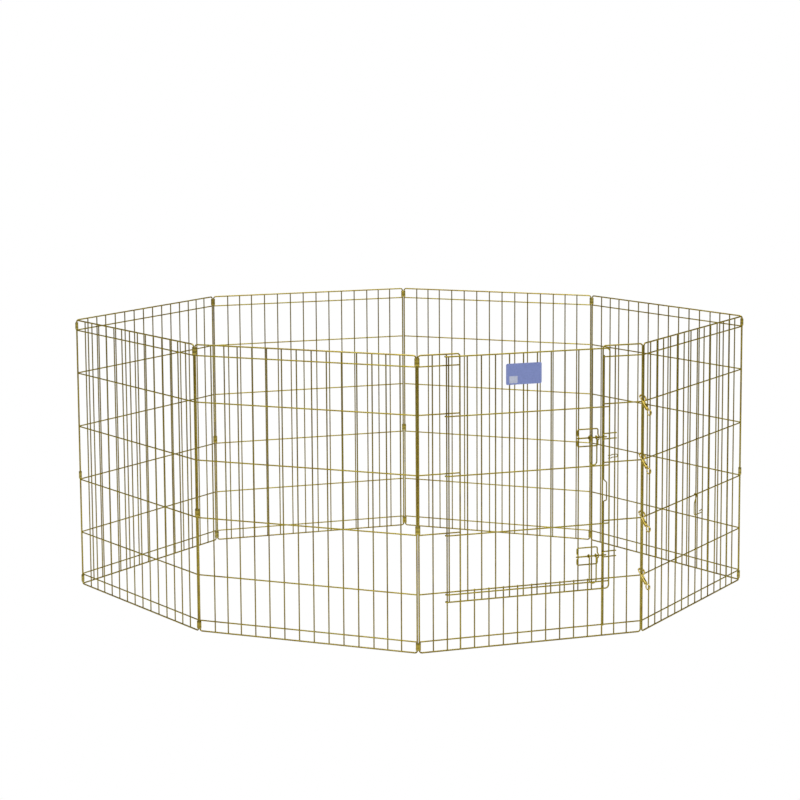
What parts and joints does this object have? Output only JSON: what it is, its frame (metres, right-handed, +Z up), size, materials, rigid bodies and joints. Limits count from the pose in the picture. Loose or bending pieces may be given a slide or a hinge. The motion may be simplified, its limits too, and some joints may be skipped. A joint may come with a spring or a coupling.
{
  "type": "pet playpen",
  "caption": "Free-standing folding wire pen for a pet: hinged grille panels joined by sheet clips at the corners, a wire door with slide bolts, and bolt snaps that close the ring.",
  "frame": {"origin": "centre of the bounding box, on the floor", "axes": "+Z up, +X along the door panel to the right seen from outside, +Y from the door to the back of the pen"},
  "size_m": [1.7946, 1.368, 0.762],
  "materials": {
    "panel_wire": "yellow zinc plate, bright satin, slightly iridescent",
    "door_wire": "yellow zinc plate, bright satin",
    "latch_wire": "yellow zinc plate, bright satin",
    "clip_sheet": "yellow zinc plated sheet, satin",
    "hook_wire": "yellow zinc plate, satin",
    "snap_casting": "cast, semi-gloss",
    "snap_fittings": "turned, gloss",
    "card": "printed card, smooth"
  },
  "bodies": {
    "panel_1": {"panel_1": "panel_wire", "upper_keeper": "latch_wire", "lower_keeper": "latch_wire", "clip_21_top": "clip_sheet", "clip_21_middle": "clip_sheet", "clip_21_bottom": "clip_sheet"},
    "panel_2": {"panel_2": "panel_wire", "clip_32_top": "clip_sheet", "clip_32_middle": "clip_sheet", "clip_32_bottom": "clip_sheet"},
    "panel_3": {"panel_3": "panel_wire", "clip_43_top": "clip_sheet", "clip_43_middle": "clip_sheet", "clip_43_bottom": "clip_sheet"},
    "panel_4": {"panel_4": "panel_wire", "clip_54_top": "clip_sheet", "clip_54_middle": "clip_sheet", "clip_54_bottom": "clip_sheet"},
    "panel_5": {"panel_5": "panel_wire", "clip_65_top": "clip_sheet", "clip_65_middle": "clip_sheet", "clip_65_bottom": "clip_sheet"},
    "panel_6": {"panel_6": "panel_wire", "clip_76_top": "clip_sheet", "clip_76_middle": "clip_sheet", "clip_76_bottom": "clip_sheet"},
    "panel_7": {"panel_7": "panel_wire", "clip_87_top": "clip_sheet", "clip_87_middle": "clip_sheet", "clip_87_bottom": "clip_sheet"},
    "panel_8": {"panel_8": "panel_wire", "snap_1_body": "snap_casting", "snap_2_body": "snap_casting", "snap_3_body": "snap_casting", "snap_4_body": "snap_casting"},
    "door": {"door": "door_wire", "upper_guide": "latch_wire", "lower_guide": "latch_wire", "door_stop": "door_wire", "name_card": "card"},
    "upper_bolt": {"upper_bolt": "latch_wire"},
    "upper_handle": {"upper_handle": "latch_wire"},
    "lower_bolt": {"lower_bolt": "latch_wire"},
    "lower_handle": {"lower_handle": "latch_wire"},
    "snap_1_bolt": {"snap_1_bolt": "snap_fittings"},
    "snap_1_eye": {"snap_1_eye": "snap_fittings"},
    "snap_2_bolt": {"snap_2_bolt": "snap_fittings"},
    "snap_2_eye": {"snap_2_eye": "snap_fittings"},
    "snap_3_bolt": {"snap_3_bolt": "snap_fittings"},
    "snap_3_eye": {"snap_3_eye": "snap_fittings"},
    "snap_4_bolt": {"snap_4_bolt": "snap_fittings"},
    "snap_4_eye": {"snap_4_eye": "snap_fittings"},
    "spare_hook": {"spare_hook": "hook_wire"}
  },
  "joints": [
    {"name": "corner_65", "type": "hinge", "parent": "panel_5", "child": "panel_6", "pos_m": [0.19106, 0.67868, 0.381], "axis": [0, 0, -1], "range_deg": [-14, 90]},
    {"name": "corner_76", "type": "hinge", "parent": "panel_6", "child": "panel_7", "pos_m": [0.67497, 0.30826, 0.381], "axis": [0, 0, -1], "range_deg": [-133.6, 21]},
    {"name": "corner_87", "type": "hinge", "parent": "panel_7", "child": "panel_8", "pos_m": [0.89221, -0.26026, 0.381], "axis": [0, 0, -1], "range_deg": [-10.8, 68.3]},
    {"name": "corner_54", "type": "hinge", "parent": "panel_5", "child": "panel_4", "pos_m": [-0.41826, 0.68034, 0.381], "axis": [0, 0, 1], "range_deg": [-24.9, 4.1]},
    {"name": "corner_43", "type": "hinge", "parent": "panel_4", "child": "panel_3", "pos_m": [-0.89221, 0.29742, 0.381], "axis": [0, 0, 1], "range_deg": [-10.8, 68.3]},
    {"name": "corner_32", "type": "hinge", "parent": "panel_3", "child": "panel_2", "pos_m": [-0.67497, -0.2711, 0.381], "axis": [0, 0, 1], "range_deg": [-133.6, 21]},
    {"name": "corner_21", "type": "hinge", "parent": "panel_2", "child": "panel_1", "pos_m": [-0.19106, -0.64152, 0.381], "axis": [0, 0, 1], "range_deg": [-14.2, 90.2]},
    {"name": "door_hinge", "type": "hinge", "parent": "panel_1", "child": "door", "pos_m": [-0.11264, -0.64578, 0.381], "axis": [0, 0, -1], "range_deg": [0, 150]},
    {"name": "upper_bolt_slide", "type": "slide", "parent": "door", "child": "upper_bolt", "axis": [-1, 0, 0], "range_m": [0, 0.022]},
    {"name": "upper_handle_swing", "type": "hinge", "parent": "upper_bolt", "child": "upper_handle", "pos_m": [0.27786, -0.65378, 0.526], "axis": [-1, 0, 0], "range_deg": [0, 110]},
    {"name": "lower_bolt_slide", "type": "slide", "parent": "door", "child": "lower_bolt", "axis": [-1, 0, 0], "range_m": [0, 0.022]},
    {"name": "lower_handle_swing", "type": "hinge", "parent": "lower_bolt", "child": "lower_handle", "pos_m": [0.27786, -0.65378, 0.217], "axis": [-1, 0, 0], "range_deg": [0, 110]},
    {"name": "snap_1_thumb", "type": "slide", "parent": "panel_8", "child": "snap_1_bolt", "axis": [0.2366, -0.6663, -0.7071], "range_m": [0, 0.008], "stiffness_N_per_m": 250},
    {"name": "snap_1_swivel", "type": "hinge", "parent": "panel_8", "child": "snap_1_eye", "pos_m": [0.42415, -0.67591, 0.58579], "axis": [0.2366, -0.6663, -0.7071], "continuous": true},
    {"name": "snap_2_thumb", "type": "slide", "parent": "panel_8", "child": "snap_2_bolt", "axis": [0.2366, -0.6663, -0.7071], "range_m": [0, 0.008], "stiffness_N_per_m": 250},
    {"name": "snap_2_swivel", "type": "hinge", "parent": "panel_8", "child": "snap_2_eye", "pos_m": [0.42415, -0.67591, 0.43339], "axis": [0.2366, -0.6663, -0.7071], "continuous": true},
    {"name": "snap_3_thumb", "type": "slide", "parent": "panel_8", "child": "snap_3_bolt", "axis": [0.2366, -0.6663, -0.7071], "range_m": [0, 0.008], "stiffness_N_per_m": 250},
    {"name": "snap_3_swivel", "type": "hinge", "parent": "panel_8", "child": "snap_3_eye", "pos_m": [0.42415, -0.67591, 0.28099], "axis": [0.2366, -0.6663, -0.7071], "continuous": true},
    {"name": "snap_4_thumb", "type": "slide", "parent": "panel_8", "child": "snap_4_bolt", "axis": [0.2366, -0.6663, -0.7071], "range_m": [0, 0.008], "stiffness_N_per_m": 250},
    {"name": "snap_4_swivel", "type": "hinge", "parent": "panel_8", "child": "snap_4_eye", "pos_m": [0.42415, -0.67591, 0.12859], "axis": [0.2366, -0.6663, -0.7071], "continuous": true},
    {"name": "spare_hook_swing", "type": "hinge", "parent": "panel_8", "child": "spare_hook", "pos_m": [0.65831, -0.45035, 0.3048], "axis": [-0.776, -0.6307, 0], "range_deg": [0, 70]}
  ],
  "couplings": [
    {"joint": "corner_76", "follows": "corner_65", "ratio": -1.4821},
    {"joint": "corner_87", "follows": "corner_65", "ratio": 0.75613},
    {"joint": "corner_54", "follows": "corner_65", "ratio": -0.274},
    {"joint": "corner_43", "follows": "corner_65", "ratio": 0.75613},
    {"joint": "corner_32", "follows": "corner_65", "ratio": -1.4821},
    {"joint": "corner_21", "follows": "corner_65", "ratio": 1}
  ]
}
